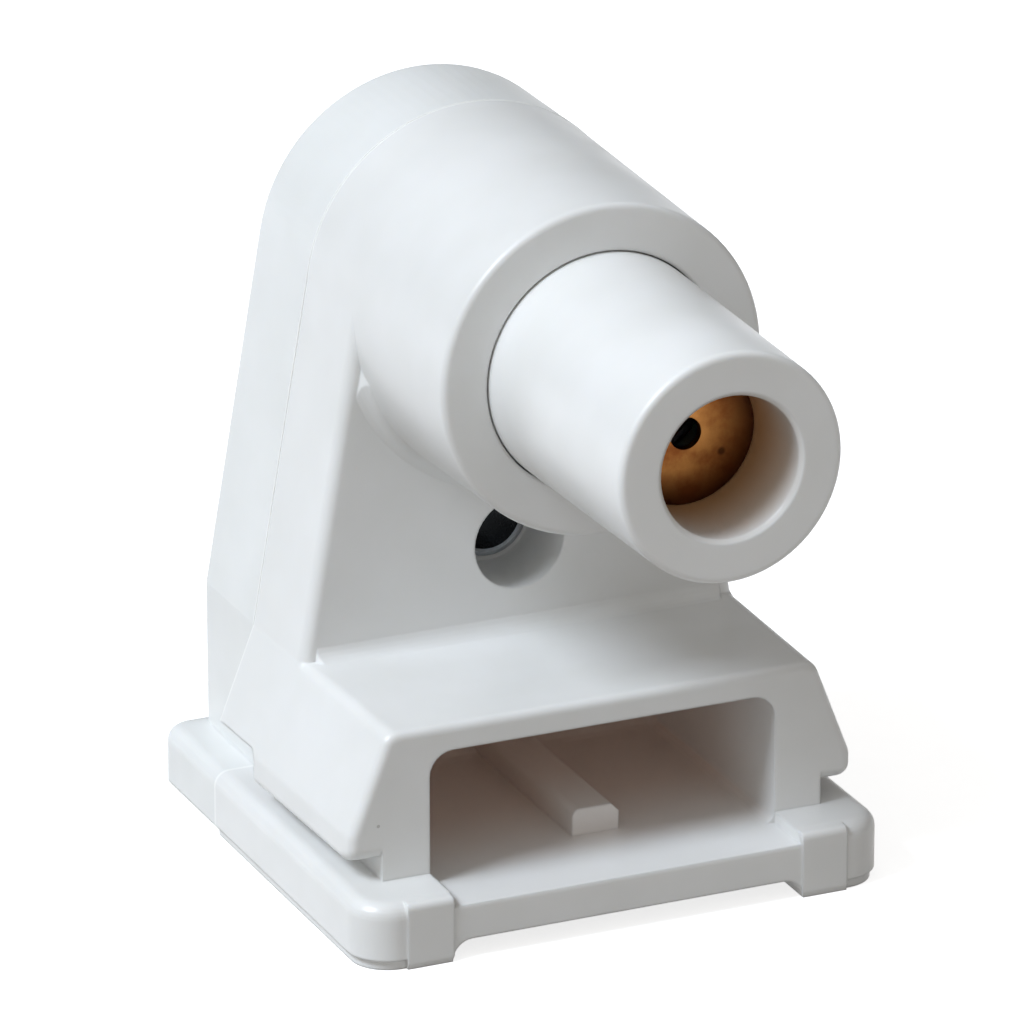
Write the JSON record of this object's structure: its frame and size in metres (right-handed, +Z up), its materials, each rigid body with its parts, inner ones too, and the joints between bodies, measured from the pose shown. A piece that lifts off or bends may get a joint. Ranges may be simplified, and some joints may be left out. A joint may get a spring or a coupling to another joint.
{
  "type": "fluorescent tube lamp holder",
  "caption": "Spring-loaded end holder for a single-pin fluorescent tube, with a hollow sliding plunger on a white upright whose slotted foot slides onto sheet metal.",
  "frame": {"origin": "middle of the overall width and length, on the underside of the two feet", "axes": "+Z up along the upright, the lamp lies towards -Y along the plunger, +X to the right seen from the lamp's side"},
  "size_m": [0.0404, 0.054, 0.0528],
  "materials": {
    "housing_plastic": "white moulded plastic, soft gloss",
    "plunger_plastic": "white moulded plastic, soft gloss, a shade brighter",
    "contact_brass": "pressed brass sheet, tarnished in places",
    "spring_steel": "bright drawn spring steel",
    "rivet_steel": "nickel-plated steel tube"
  },
  "bodies": {
    "housing": {"front_housing": "housing_plastic", "rear_cover": "housing_plastic", "hollow_rivet": "rivet_steel", "terminal_strip": "contact_brass", "wire_clip": "spring_steel", "plunger_spring": "spring_steel"},
    "plunger_body": {"plunger": "plunger_plastic", "contact_cup": "contact_brass"}
  },
  "joints": [
    {"name": "plunger_slide", "type": "slide", "parent": "housing", "child": "plunger_body", "axis": [0, 1, 0], "range_m": [0, 0.011], "stiffness_N_per_m": 500, "springref_m": -0.008, "deforming": ["plunger_spring"]}
  ]
}
